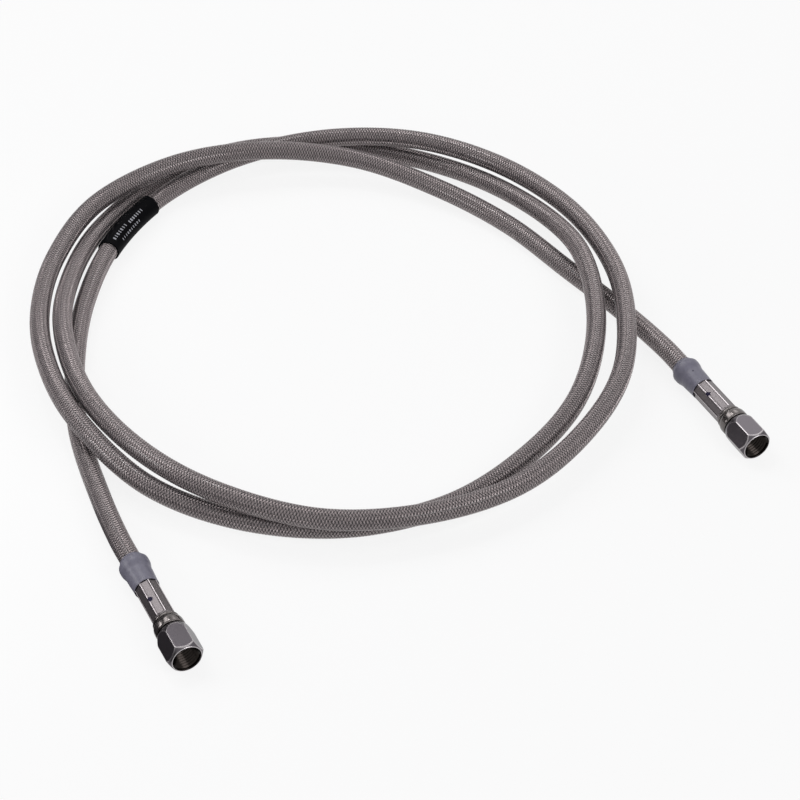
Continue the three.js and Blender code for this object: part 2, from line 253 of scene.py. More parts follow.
class Finish:
    # a material being made: its one shader, and the nodes that feed it

    def __init__(self, name, **constants):
        self.material = bpy.data.materials.new(name)
        self.material.use_nodes = True
        self.tree = self.material.node_tree
        self.shader = self.tree.nodes["Principled BSDF"]
        labels = {re.sub("[^a-z]", "", socket.name.lower()): socket.name for socket in self.shader.inputs}
        for label, value in constants.items():
            self.feed(labels[label.lower()], value)

    def plug(self, socket, value):
        if isinstance(value, Value):
            self.tree.links.new(value.socket, socket)
        else:
            socket.default_value = value

    def feed(self, name, value):
        self.plug(self.shader.inputs[name], value)

    def node(self, kind, settings=None, sockets=None, output=0):
        made = self.tree.nodes.new(kind)
        for key, value in (settings or {}).items():
            setattr(made, key, value)
        for key, value in (sockets or {}).items():
            self.plug(made.inputs[key], value)
        return Value(self, made.outputs[output])

    def math(self, operation, *values):
        return self.node("ShaderNodeMath", {"operation": operation}, dict(enumerate(values)))

    def wrap(self):
        # how far around the piece, from 0 to 1, and how far along it, in metres
        place = self.node("ShaderNodeUVMap", {"uv_map": "wrap"})
        parts = self.tree.nodes.new("ShaderNodeSeparateXYZ")
        self.plug(parts.inputs[0], place)
        return Value(self, parts.outputs[0]), Value(self, parts.outputs[1])

    def spot(self, x, y, z=0.0):
        return self.node("ShaderNodeCombineXYZ", {}, {"X": x, "Y": y, "Z": z})

    def noise(self, where, scale, detail=2.0):
        return self.node("ShaderNodeTexNoise", {}, {"Vector": where, "Scale": scale, "Detail": detail})

    def objectPlace(self):
        return self.node("ShaderNodeTexCoord", output="Object")

    def attribute(self, name):
        return self.node("ShaderNodeAttribute", {"attribute_name": name}, output="Fac")

    def blend(self, factor, first, second):
        # sockets 6 and 7 and output 2 are the Mix node's colour ones
        return self.node("ShaderNodeMix", {"data_type": "RGBA"}, {0: factor, 6: first, 7: second}, 2)

    def tones(self, factor, pair):
        return self.blend(factor, shade(*pair[0]), shade(*pair[1]))

    def streaks(self, around, onward, scale, detail=2.0):
        # noise stretched by these factors for a whole turn and for a metre along the piece
        turn, along = self.wrap()
        return self.noise(self.spot(turn * around, along * onward), scale, detail)

    def roughen(self, factor, pair):
        self.feed("Roughness", pair[0] + factor * (pair[1] - pair[0]))

    def bump(self, height, distance):
        self.feed("Normal", self.node("ShaderNodeBump", {}, {"Height": height, "Distance": distance}))


def shade(*color):
    # a colour as seen on screen, 0 to 255, turned into the linear one that a socket takes
    linear = [c / 12.92 if c <= 0.04045 else ((c + 0.055) / 1.055) ** 2.4 for c in (v / 255 for v in color)]
    return (*linear, 1)


# Node tree helpers

def newTree(name, inputs):
    tree = bpy.data.node_groups.new(name, "GeometryNodeTree")
    tree.interface.new_socket("Geometry", in_out="OUTPUT", socket_type="NodeSocketGeometry")
    for label, (kind, value) in inputs.items():
        socket = tree.interface.new_socket(label, in_out="INPUT", socket_type="NodeSocket" + kind)
        if value is not None:
            socket.default_value = value
    return tree


def addNode(tree, kind, sockets=None, **settings):
    made = tree.nodes.new(kind)
    for key, value in settings.items():
        setattr(made, key, value)
    for key, value in (sockets or {}).items():
        if isinstance(value, bpy.types.NodeSocket):
            tree.links.new(value, made.inputs[key])
        else:
            made.inputs[key].default_value = value
    return made


def addMath(tree, operation, *values):
    return addNode(tree, "ShaderNodeMath", dict(enumerate(values)), operation=operation).outputs[0]


def stored(tree, name, kind="FLOAT_VECTOR"):
    # a value that the holder's mesh carries at each point
    made = addNode(tree, "GeometryNodeInputNamedAttribute", {"Name": name}, data_type=kind)
    return made.outputs["Attribute"]


def standing(tree, zAxis, xAxis):
    # the turn that brings a piece's own z and x onto these two directions
    made = addNode(tree, "FunctionNodeAxesToRotation", {0: zAxis, 1: xAxis}, primary_axis="Z",
                   secondary_axis="X")
    return made.outputs[0]


def finishTree(tree, geometry, material):
    solid = addNode(tree, "GeometryNodeRealizeInstances", {0: geometry})
    paint = addNode(tree, "GeometryNodeSetMaterial", {"Geometry": solid.outputs[0], "Material": material})
    addNode(tree, "NodeGroupOutput", {0: paint.outputs[0]})


def grown(name, tree, values, place=Matrix.Identity(4), source=None):
    # runs a tree on a holder object and keeps the result as a plain mesh
    holder = addObject(name + "Holder", source or bpy.data.meshes.new(name + "Holder"))
    modifier = holder.modifiers.new(name, "NODES")
    modifier.node_group = tree
    sockets = {item.name: item.identifier for item in tree.interface.items_tree if item.in_out == "INPUT"}
    for label, value in values.items():
        modifier[sockets[label]] = value
    bpy.context.view_layer.update()
    graph = bpy.context.evaluated_depsgraph_get()
    mesh = bpy.data.meshes.new_from_object(holder.evaluated_get(graph))
    bpy.data.objects.remove(holder)
    mesh.transform(place)
    mesh.name = name
    return addObject(name, mesh)


# Hose

braidLook = {
    "cellsAround": 9,
    "cellLength": 1.107 * mm,
    "wiresPerBundle": 4,
    "gapShadeAndWire": ((9, 8, 8), (190, 177, 176)),
    "roughness": (0.44, 0.32),
    "narrowing": 6.0,            # how fast a bundle's crown falls off to its sides
    "dipping": 2.8,              # and to its ends, where it goes under another
    "sharpening": 1.25,
    "wireRelief": 0.08,
    "bumpHeight": 0.18 * mm,
}


def braidMaterial():
    # bundles that cross both ways; in each cell of the pattern one of the two lies on top
    look = braidLook
    finish = Finish("braidWire", metallic=0.9, coatWeight=0.25, coatRoughness=0.15)
    turn, along = finish.wrap()
    around = turn * look["cellsAround"]
    onward = along * (1 / look["cellLength"])
    right, left = around - onward, around + onward
    cellRight, cellLeft = finish.math("FLOOR", right), finish.math("FLOOR", left)
    offRight, offLeft = right - cellRight - 0.5, left - cellLeft - 0.5
    over = finish.math("FLOORED_MODULO", cellRight + cellLeft, 2.0)
    cross = offRight + over * (offLeft - offRight)
    lengthwise = offLeft + over * (offRight - offLeft)
    crown = (1 - look["narrowing"] * cross * cross).clamped()
    lasting = 1 - look["dipping"] * lengthwise * lengthwise
    height = finish.math("POWER", crown * lasting, look["sharpening"])
    singleWires = finish.math("COSINE", cross * (2 * math.pi * look["wiresPerBundle"]))
    # near-black painted shade in the gaps and where a bundle dips under the other; the crowns keep the
    # wire's colour
    finish.feed("Base Color", finish.tones(height, look["gapShadeAndWire"]))
    finish.roughen(height, look["roughness"])
    finish.bump(height + singleWires * look["wireRelief"], look["bumpHeight"])
    return finish.material


def coverMaterial():
    finish = Finish("clearCover", baseColor=shade(150, 145, 148), roughness=0.1, alpha=0.08)
    return finish.material


def linerMaterial():
    finish = Finish("linerTube", roughness=0.45)
    cloud = finish.noise(finish.objectPlace(), hose["linerGrain"])
    finish.feed("Base Color", finish.tones(cloud, hose["linerTones"]))
    return finish.material


def carriedRun(reach):
    # the whole run, with a straight stretch into each fitting
    first = np.array(endA + axisA * reach)
    last = np.array(endB + axisB * reach)
    places = np.concatenate([[-reach], runDistance, [runDistance[-1] + reach]])
    return places, np.vstack([first, run, last])


def hoseLayer(name, reach, outer, inner, sides, material):
    places, points = carriedRun(reach)
    grid = tubeGrid(points, outer, inner, sides)
    along = np.concatenate([places, places[::-1]])
    return closedGrid(name, grid, along, material, hose["sharpAngle"]), points


# Woven wires: a grain of wire wherever a bundle passes over another, each way of the weave one piece

wires = {
    "base": 3.47 * mm,
    "crown": 3.65 * mm,
    "length": 1.72 * mm,
    "width": 0.78 * mm,
    "topShare": 0.6,
    "grain": 500.0,
    "tones": ((136, 126, 126), (166, 156, 156)),
    "roughness": (0.35, 0.41),
}


def wireMaterial():
    finish = Finish("bundleWire", metallic=0.95)
    cloud = finish.noise(finish.objectPlace(), wires["grain"])
    finish.feed("Base Color", finish.tones(cloud, wires["tones"]))
    finish.roughen(cloud, wires["roughness"])
    return finish.material


def weaveTree():
    # a ring of grains around the hose, set at every step of its centre line
    inputs = {
        "Steps": ("Geometry", None),
        "Around": ("Int", braidLook["cellsAround"]),
        "First angle": ("Float", 0.0),
        "Lean": ("Float", 0.0),
        "Base radius": ("Float", wires["base"]),
        "Grain length": ("Float", wires["length"]),
        "Grain width": ("Float", wires["width"]),
        "Grain height": ("Float", wires["crown"] - wires["base"]),
        "Material": ("Material", None),
    }
    tree = newTree("wovenWires", inputs)
    given = addNode(tree, "NodeGroupInput").outputs

    def vector(operation, *values):
        return addNode(tree, "ShaderNodeVectorMath", dict(enumerate(values)), operation=operation).outputs[0]

    outward = vector("NORMALIZE", addNode(tree, "GeometryNodeInputPosition").outputs[0])
    sideways = vector("CROSS_PRODUCT", (0, 0, 1), outward)
    aside = addNode(tree, "ShaderNodeVectorMath", {
        0: sideways,
        "Scale": addMath(tree, "SINE", given["Lean"]),
    }, operation="SCALE")
    onward = addNode(tree, "ShaderNodeCombineXYZ", {"Z": addMath(tree, "COSINE", given["Lean"])})
    slanted = vector("ADD", aside.outputs[0], onward.outputs[0])
    grain = addNode(tree, "GeometryNodeMeshCone", {
        "Vertices": 4,
        "Radius Top": wires["topShare"],
        "Radius Bottom": 1.0,
        "Depth": 1.0,
    })
    size = addNode(tree, "ShaderNodeCombineXYZ", {
        "X": addMath(tree, "MULTIPLY", given["Grain length"], 0.5),
        "Y": addMath(tree, "MULTIPLY", given["Grain width"], 0.5),
        "Z": given["Grain height"],
    })
    circle = addNode(tree, "GeometryNodeMeshCircle", {
        "Vertices": given["Around"],
        "Radius": given["Base radius"],
    })
    turn = addNode(tree, "ShaderNodeCombineXYZ", {"Z": given["First angle"]})
    turned = addNode(tree, "GeometryNodeTransform", {
        "Geometry": circle.outputs[0],
        "Rotation": turn.outputs[0],
    })
    ring = addNode(tree, "GeometryNodeInstanceOnPoints", {
        "Points": turned.outputs[0],
        "Instance": grain.outputs["Mesh"],
        "Rotation": standing(tree, outward, slanted),
        "Scale": size.outputs[0],
    })
    rings = addNode(tree, "GeometryNodeInstanceOnPoints", {
        "Points": given["Steps"],
        "Instance": ring.outputs[0],
        "Rotation": standing(tree, stored(tree, "ahead"), stored(tree, "upward")),
    })
    finishTree(tree, rings.outputs[0], given["Material"])
    return tree


def weaveSteps(shift):
    # the centres of one way's crossings along the visible hose, with the hose's own directions there
    cell = braidLook["cellLength"]
    places, points = carriedRun(hose["coverReach"])
    first, last = math.ceil(places[0] / cell), math.floor(places[-1] / cell) - 1
    centres = (np.arange(first, last + 1) + shift) * cell
    spots = np.stack([np.interp(centres, places, points[:, k]) for k in range(3)], axis=1)
    ahead, upward, _ = pathFrames(spots)
    mesh = bpy.data.meshes.new("weaveSteps")
    mesh.from_pydata(spots.tolist(), [], [])
    for name, vectors in (("ahead", ahead), ("upward", upward)):
        mesh.attributes.new(name, "FLOAT_VECTOR", "POINT").data.foreach_set("vector", vectors.ravel())
    return mesh


def makeWires():
    tree, material = weaveTree(), wireMaterial()
    cellAround = 2 * math.pi / braidLook["cellsAround"]
    lean = math.atan2(cellAround * wires["base"], braidLook["cellLength"])
    ways = (("wiresRight", 0.0, cellAround / 2, lean), ("wiresLeft", 0.5, 0.0, -lean))
    pieces = []
    for name, shift, firstAngle, slant in ways:
        values = {"First angle": firstAngle, "Lean": slant, "Material": material}
        pieces.append(grown(name, tree, values, source=weaveSteps(shift)))
    return pieces


cover, coverRun = hoseLayer("clearHoseCover", hose["coverReach"], hose["coverRadius"], hose["coverBore"],
                            hose["sides"], coverMaterial())
braid, _ = hoseLayer("wovenBraid", hose["coreReach"], hose["braidRadius"], hose["braidBore"],
                     hose["sides"], braidMaterial())
liner, _ = hoseLayer("innerLiner", hose["coreReach"], hose["linerRadius"], hose["linerBore"],
                     hose["linerSides"], linerMaterial())
wirePieces = makeWires()
print("hose layers made,", sum(len(piece.data.polygons) for piece in wirePieces) // 6, "grains of wire")

# Black band, shrunk onto the hose

band = {
    "start": 177 * mm,
    "length": 33 * mm,
    "outer": 4.35 * mm,
    "inner": 3.85 * mm,
    "rings": 40,
    "sides": 48,
    "sharpAngle": 40,
    "grain": 1500.0,
    "grainHeight": 0.01 * mm,
    "tones": ((3, 3, 5), (9, 9, 12)),
}


def bandMaterial():
    finish = Finish("bandFilm", roughness=0.5, specularIORLevel=0.03)
    grain = finish.noise(finish.objectPlace(), band["grain"])
    finish.feed("Base Color", finish.tones(grain, band["tones"]))
    finish.bump(grain, band["grainHeight"])
    return finish.material


def alongRun(distances):
    return np.stack([np.interp(distances, runDistance, run[:, k]) for k in range(3)], axis=1)


def makeBand():
    steps = np.linspace(0, 1, band["rings"]) * band["length"]
    grid = tubeGrid(alongRun(band["start"] + steps), band["outer"], band["inner"], band["sides"])
    along = np.concatenate([steps, steps[::-1]])
    return closedGrid("hoseBand", grid, along, bandMaterial(), band["sharpAngle"])


printMarks = {
    # each row's start and end along the band, degrees around it and height of its bars, in millimetres
    "rows": ((3.2, 12.6, 21, 1.25), (15.4, 24.2, 27, 1.25), (6.2, 19.6, 59, 0.95)),
    "rowPoints": 24,
    "spacing": 1.35 * mm,
    "narrow": 0.3 * mm,
    "wide": 0.8 * mm,
    "thickness": 0.12 * mm,
    "seed": 4,
    "grain": 2600.0,
    "tones": ((84, 85, 92), (206, 207, 214)),
}


def printMaterial():
    finish = Finish("paleInk", roughness=0.6)
    brightShare = finish.noise(finish.objectPlace(), printMarks["grain"], 3.0)
    finish.feed("Base Color", finish.tones(brightShare, printMarks["tones"]))
    return finish.material


def printTree():
    # a bar at every step of each printed row, lying on the film
    inputs = {
        "Rows": ("Geometry", None),
        "Spacing": ("Float", printMarks["spacing"]),
        "Narrowest": ("Float", printMarks["narrow"]),
        "Widest": ("Float", printMarks["wide"]),
        "Thickness": ("Float", printMarks["thickness"]),
        "Seed": ("Int", printMarks["seed"]),
        "Material": ("Material", None),
    }
    tree = newTree("printRows", inputs)
    given = addNode(tree, "NodeGroupInput").outputs
    line = addNode(tree, "GeometryNodeMeshToCurve", {0: given["Rows"]})
    steps = addNode(tree, "GeometryNodeCurveToPoints", {
        "Curve": line.outputs[0],
        "Length": given["Spacing"],
    }, mode="LENGTH")
    width = addNode(tree, "FunctionNodeRandomValue", {
        2: given["Narrowest"],       # the node's inputs and output for plain numbers
        3: given["Widest"],
        "Seed": given["Seed"],
    }).outputs[1]
    size = addNode(tree, "ShaderNodeCombineXYZ", {
        "X": width,
        "Y": stored(tree, "tall", "FLOAT"),
        "Z": given["Thickness"],
    })
    bar = addNode(tree, "GeometryNodeMeshCube", {"Size": (1, 1, 1)})
    bars = addNode(tree, "GeometryNodeInstanceOnPoints", {
        "Points": steps.outputs["Points"],
        "Instance": bar.outputs["Mesh"],
        "Rotation": standing(tree, stored(tree, "outward"), steps.outputs["Tangent"]),
        "Scale": size.outputs[0],
    })
    finishTree(tree, bars.outputs[0], given["Material"])
    return tree


def printedRows():
    # the rows' centre lines on the film, with the way out of it and the bars' height at each point
    mesh = bpy.data.meshes.new("printedRows")
    spots, edges, outward, tall = [], [], [], []
    for start, stop, around, height in printMarks["rows"]:
        points = alongRun(band["start"] + np.linspace(start, stop, printMarks["rowPoints"]) * mm)
        _, upward, across = pathFrames(points)
        angle = math.radians(around)
        out = math.cos(angle) * upward + math.sin(angle) * across
        edges += [(len(spots) + k, len(spots) + k + 1) for k in range(len(points) - 1)]
        spots += (points + out * band["outer"]).tolist()
        outward += out.tolist()
        tall += [height * mm] * len(points)
    mesh.from_pydata(spots, edges, [])
    mesh.attributes.new("outward", "FLOAT_VECTOR", "POINT").data.foreach_set("vector", np.ravel(outward))
    mesh.attributes.new("tall", "FLOAT", "POINT").data.foreach_set("value", tall)
    return mesh


bandPiece = makeBand()
printPiece = grown("bandPrint", printTree(), {"Material": printMaterial()}, source=printedRows())
print("band made,", len(printPiece.data.polygons) // 6, "printed bars")

# Shrink sleeve

sleeve = {
    "length": 13.8,
    "wall": 0.25,
    "gap": 0.25,
    "fit": 0.04,
    "edgeSkin": 0.22,
    "thinning": 7.0,
    "bellBack": 2.1,
    "bellFront": 3.9,
    "rise": 1.7,
    "fallLead": 0.6,
    "fall": 3.0,
    "hoseRadius": 3.75,
    "bellRadius": 4.8,
    "ferruleRadius": 4.15,
    "rows": 60,
    "columns": 72,
    "sharpAngle": 50,
    "grain": 700.0,
    "grainHeight": 0.03,
    "tones": ((96, 94, 107), (116, 114, 129)),
    "inkColor": (34, 30, 52),
    "inkRadius": 0.4,
    "inkDot": {"B": (0.0333, 7.8)},      # share of a turn, station
}


inkBlot = {
    "grain": 1600.0,             # ragged notches to a metre of the edge
    "raggedness": 0.9,
    "crispness": 7.0,
}


def inkSpot(finish, place, radius, surface):
    # 1 inside a blot with a ragged edge, 0 outside it; place is a share of a turn and a station
    turn, along = finish.wrap()
    across = (turn - place[0]) * (2 * math.pi * surface * mm)
    onward = along - place[1] * mm
    far = finish.math("SQRT", across * across + onward * onward)
    grain = finish.spot(across * inkBlot["grain"], onward * inkBlot["grain"])
    ragged = finish.noise(grain, 1.0, 3.0) - 0.5
    inside = 1 - (far + ragged * (radius * mm * inkBlot["raggedness"])) * (1 / (radius * mm))
    return (inside * inkBlot["crispness"]).clamped()


def sleeveMaterial(tag):
    finish = Finish("shrinkTube" + tag, roughness=0.42)
    cloud = finish.noise(finish.objectPlace(), sleeve["grain"])
    color = finish.tones(cloud, sleeve["tones"])
    if tag in sleeve["inkDot"]:
        dot = inkSpot(finish, sleeve["inkDot"][tag], sleeve["inkRadius"], sleeve["bellRadius"])
        color = finish.blend(dot, color, shade(*sleeve["inkColor"]))
    finish.feed("Base Color", color)
    finish.bump(cloud, sleeve["grainHeight"] * mm)
    return finish.material


def easeStep(value, low, high):
    share = min(max((value - low) / (high - low), 0), 1)
    return share * share * (3 - 2 * share)


def sleeveCore(station):
    rise = easeStep(station, sleeve["bellBack"] - sleeve["rise"], sleeve["bellBack"])
    fall = easeStep(station, sleeve["bellFront"] - sleeve["fallLead"], sleeve["bellFront"] + sleeve["fall"])
    return (sleeve["hoseRadius"] + (sleeve["bellRadius"] - sleeve["hoseRadius"]) * rise
            - (sleeve["bellRadius"] - sleeve["ferruleRadius"]) * fall)


def makeSleeve(tag, end, axis, material):
    stations = [sleeve["length"] * k / sleeve["rows"] for k in range(sleeve["rows"] + 1)]
    outer, inner = [], []
    for w in stations:
        hug = easeStep(w, sleeve["length"] - sleeve["thinning"], sleeve["length"])
        skin = sleeve["gap"] + sleeve["wall"] - (sleeve["gap"] + sleeve["wall"] - sleeve["edgeSkin"]) * hug
        outer.append((sleeveCore(w) + skin, w))
        inner.append((sleeveCore(w) + sleeve["fit"], w))
    return turnedPiece("shrinkSleeve" + tag, end, axis, outer + inner[::-1], sleeve["columns"], material,
                       sleeve["sharpAngle"])


# Crimp ferrule

ferrule = {
    "back": 2.1,
    "bellFront": 3.9,
    "bellInner": 4.05,
    "bellOuter": 4.75,
    "radius": 4.15,
    "bore": 3.275,
    "front": 30.1,
    "lip": 1.2,
    "lipRadius": 2.35,
    "edge": 0.35,
    "break": 0.1,                # the small bevel on the bell and the front edge
    "flats": 8,
    "flatDepth": 0.25,
    "crimpBack": 6.1,
    "crimpFront": 29.2,
    "easeBack": 0.7,             # how far the flats run out behind and ahead of the crimp
    "easeFront": 0.4,
    "ridgeHeight": 0.13,
    "ridgeWidth": 0.2,
    "shadeOff": 2.1,            # where the painted shade line beside a ridge lies, in ridge widths
    "grooveWidth": 0.7,
    "shadeDark": 0.7,
    "columns": 320,
    "sharpAngle": 12,
    "streaks": (60, 220.0, 6.0, 4.0),
    "streakHeight": 0.004,
    "tones": ((103, 98, 99), (125, 120, 122)),
    "roughness": (0.31, 0.41),
    "ridgeHighlightColor": (206, 199, 202),
    "ridgeShadeColor": (34, 31, 32),
    "inkColor": (13, 5, 42),
    "inkRadius": 0.98,
    "ink": {"A": (0.0778, 22.1), "B": (0.0972, 20.1)},      # share of a turn, station
    "roll": {"A": -0.14, "B": -0.117},
}


def ferruleMaterial(tag):
    finish = Finish("crimpedSteel" + tag, specularIORLevel=0.1)
    drawn = finish.streaks(*ferrule["streaks"])
    ink = inkSpot(finish, ferrule["ink"][tag], ferrule["inkRadius"], ferrule["radius"])
    wear = finish.attribute("wear")
    steel = finish.tones(drawn, ferrule["tones"])
    # the ridges are painted bright as a highlight, with a painted shade line beside each
    steel = finish.blend(wear.clamped(), steel, shade(*ferrule["ridgeHighlightColor"]))
    steel = finish.blend((wear * -1.0).clamped(), steel, shade(*ferrule["ridgeShadeColor"]))
    finish.feed("Base Color", finish.blend(ink, steel, shade(*ferrule["inkColor"])))
    finish.feed("Metallic", 1 - ink)
    finish.roughen(drawn, ferrule["roughness"])
    finish.bump(drawn, ferrule["streakHeight"] * mm)
    return finish.material


def makeFerrule(tag, end, axis, material):
    f = ferrule
    shoulder = f["bellFront"] + f["bellOuter"] - f["radius"]
    profile = [
        (f["bellInner"], f["back"]), (f["bellOuter"] - f["break"], f["back"]),
        (f["bellOuter"], f["back"] + f["break"]), (f["bellOuter"], f["bellFront"]),
        (f["radius"], shoulder), (f["radius"], f["crimpBack"] - f["easeBack"]),
        (f["radius"], f["crimpBack"]), (f["radius"], f["crimpFront"]),
        (f["radius"], f["crimpFront"] + f["easeFront"]),
        (f["radius"], f["front"] - f["edge"]), (f["radius"] - f["break"], f["front"] - f["break"]),
        (f["radius"] - f["edge"], f["front"]), (f["lipRadius"], f["front"]),
        (f["lipRadius"], f["front"] - f["lip"]), (f["bore"], f["front"] - f["lip"]),
        (f["bore"], f["bellFront"]), (f["bellInner"], f["bellFront"]),
    ]
    rows = np.array(profile)
    radius = np.repeat(rows[:, :1], f["columns"], axis=1)
    station = np.repeat(rows[:, 1:], f["columns"], axis=1)
    sector = 2 * math.pi / f["flats"]
    angle = np.arange(f["columns"]) * 2 * math.pi / f["columns"] - f["roll"][tag]
    offFlat = (angle / sector - np.floor(angle / sector) - 0.5) * sector
    pressed = np.minimum(f["radius"], (f["radius"] - f["flatDepth"]) / np.cos(offFlat))
    offRidge = (sector / 2 - np.abs(offFlat)) * f["radius"] / f["ridgeWidth"]
    ridge = np.exp(-offRidge ** 2)
    # a painted shade line beside each ridge
    groove = f["shadeDark"] * np.exp(-((offRidge - f["shadeOff"]) / f["grooveWidth"]) ** 2)
    pressed = pressed + f["ridgeHeight"] * ridge
    wear = np.zeros(radius.shape)
    for row in (profile.index((f["radius"], f["crimpBack"])), profile.index((f["radius"], f["crimpFront"]))):
        radius[row] = pressed
        # ridge rows: painted highlight on the ridge, painted shade beside it
        wear[row] = ridge - groove
    grid = fittingGrid(end, axis, radius * mm, station * mm)
    piece = closedGrid("crimpFerrule" + tag, grid, rows[:, 1] * mm, material, f["sharpAngle"])
    addPaintedLight(piece, wear)
    return piece


# Nipple with its collar

nipple = {
    "bore": 0.9,
    "tail": 1.45,
    "tailBack": 8.5,
    "lockBack": 27.5,
    "lockFront": 28.6,
    "lockRadius": 2.975,
    "root": 2.05,
    "collarBack": 30.4,
    "collarFront": 35.5,
    "ringRadius": 4.65,
    "ringWidth": 0.95,
    "grooveWidth": 0.3,
    "grooveRadius": 4.28,
    "beadRadius": 5.25,
    "beadRise": 1.9,
    "beadFall": 1.0,
    "beadDrop": 0.3,
    "neck": 2.6,
    "headBack": 38.7,
    "headFront": 41.7,
    "headRadius": 3.7,
    "headBevel": 0.2,
    "seatRadius": 3.35,
    "seatDepth": 3.25,
    "columns": 96,
    "sharpAngle": 30,
    "streaks": (3, 9000.0, 1.0),
    "tones": ((94, 90, 89), (114, 109, 108)),
    "roughness": (0.21, 0.26),
}


def nippleMaterial():
    finish = Finish("polishedSteel", metallic=1.0)
    turning = finish.streaks(*nipple["streaks"])
    finish.feed("Base Color", finish.tones(turning, nipple["tones"]))
    finish.roughen(turning, nipple["roughness"])
    return finish.material


def roundedRing(back, front, low, high, steps=8, fullness=0.6):
    # rounded outline of a ring, from low radius up to high and down again
    middle, half = (back + front) / 2, (front - back) / 2
    points = []
    for k in range(steps + 1):
        angle = math.pi * k / steps
        points.append((low + (high - low) * math.sin(angle) ** fullness, middle - half * math.cos(angle)))
    return points


def roundedBead(back, steps=10):
    # quarter round up to the bead's full radius, then a shorter one down to its front edge
    n = nipple
    rise = n["beadRadius"] - n["grooveRadius"]
    fallBack = n["collarFront"] - n["beadFall"]
    quarter = [math.pi / 2 * k / steps for k in range(steps + 1)]
    up = [(n["grooveRadius"] + rise * math.sin(angle), back + n["beadRise"] * (1 - math.cos(angle)))
          for angle in quarter]
    down = [(n["beadRadius"] - n["beadDrop"] * (1 - math.cos(angle)),
             fallBack + n["beadFall"] * math.sin(angle)) for angle in quarter]
    return up + down


def makeNipple(tag, end, axis, material):
    n = nipple
    ringFront = n["collarBack"] + n["ringWidth"]
    profile = [(n["bore"], n["tailBack"]), (n["tail"], n["tailBack"]),
               (n["tail"], n["lockBack"]), (n["lockRadius"], n["lockBack"]),
               (n["lockRadius"], n["lockFront"]), (n["root"], n["lockFront"]), (n["root"], n["collarBack"])]
    profile += roundedRing(n["collarBack"], ringFront, n["grooveRadius"], n["ringRadius"])
    profile += roundedBead(ringFront + n["grooveWidth"])
    profile += [(n["neck"], n["collarFront"]), (n["neck"], n["headBack"]), (n["headRadius"], n["headBack"]),
                (n["headRadius"], n["headFront"] - n["headBevel"]), (n["seatRadius"], n["headFront"]),
                (n["bore"], n["headFront"] - n["seatDepth"])]
    return turnedPiece("nipple" + tag, end, axis, profile, n["columns"], material, n["sharpAngle"])


# Swivel nut

nut = {
    "acrossFlats": 11.11,
    "back": 35.8,
    "front": 48.6,
    "backRadius": 4.75,
    "backTaper": 3.8,
    "backRound": 1.62,
    "frontRadius": 5.175,
    "frontTaper": 1.75,
    "mouthRadius": 4.95,
    "hole": 2.95,
    "rearWall": 2.6,
    "threadRoot": 4.62,
    "threadCrest": 4.14,
    "pitch": 1.058,
    "threadTurns": 9.0,
    "threadStart": 0.5,          # how far inside the mouth the thread begins
    "cornerRound": 0.1,
    "cornerSpread": 0.2,         # radians over which a corner is rounded
    "cornerCrown": 0.35,
    "backEdge": (0.04, 0.1),     # how far a rounded edge reaches in and along
    "frontEdge": (0.05, 0.12),
    "rimEdge": (0.04, 0.03),
    "highlightFront": 0.3,            # how far in from an edge the painted highlight reaches
    "highlightRim": 0.1,
    "highlightWidth": 0.16,
    "columns": 360,
    "sharpAngle": 12,
    "threadSharpAngle": 30,
    "streaks": (30, 2500.0, 2.0, 3.0),
    "tones": ((82, 78, 82), (90, 86, 90)),
    "roughness": (0.277, 0.297),
    "edgeHighlightColor": (176, 171, 173),
    "boreStreaks": (12, 900.0, 2.0, 3.0),
    "boreShadeTones": ((14, 12, 12), (24, 21, 20)),
    "boreRoughness": (0.22, 0.36),
    "threadSteps": 48,           # to a turn
    "threadGrain": 900.0,
    "threadShadeTones": ((24, 21, 20), (44, 40, 38)),
    "threadRoughness": (0.2, 0.26),
}


def nutMaterial():
    finish = Finish("darkNickel", metallic=1.0)
    milled = finish.streaks(*nut["streaks"])
    flat = finish.tones(milled, nut["tones"])
    brightShare = finish.attribute("wear")
    # edges and corners painted bright as a highlight
    finish.feed("Base Color", finish.blend(brightShare, flat, shade(*nut["edgeHighlightColor"])))
    finish.roughen(milled, nut["roughness"])
    return finish.material


def boreMaterial():
    finish = Finish("nutBore", metallic=1.0)
    stain = finish.streaks(*nut["boreStreaks"])
    # near-black painted shade for the inside of the nut
    finish.feed("Base Color", finish.tones(stain, nut["boreShadeTones"]))
    finish.roughen(stain, nut["boreRoughness"])
    return finish.material


def threadMaterial():
    finish = Finish("cutThread", metallic=1.0)
    stain = finish.noise(finish.objectPlace(), nut["threadGrain"])
    # the thread is painted dark as shade inside the bore
    finish.feed("Base Color", finish.tones(stain, nut["threadShadeTones"]))
    finish.roughen(stain, nut["threadRoughness"])
    return finish.material


def hexRadius(angle):
    # a hexagon with slightly rounded corners, with a flat facing down
    apothem = nut["acrossFlats"] / 2
    offFlat = np.abs((angle / (math.pi / 3) + 0.5) % 1 - 0.5) * math.pi / 3
    sharp = apothem / np.cos(offFlat)
    corner = apothem / math.cos(math.pi / 6) - nut["cornerRound"]
    fall = 1 - ((math.pi / 6 - offFlat) / nut["cornerSpread"]) ** 2
    return np.minimum(sharp, corner + nut["cornerCrown"] * nut["cornerRound"] * fall)


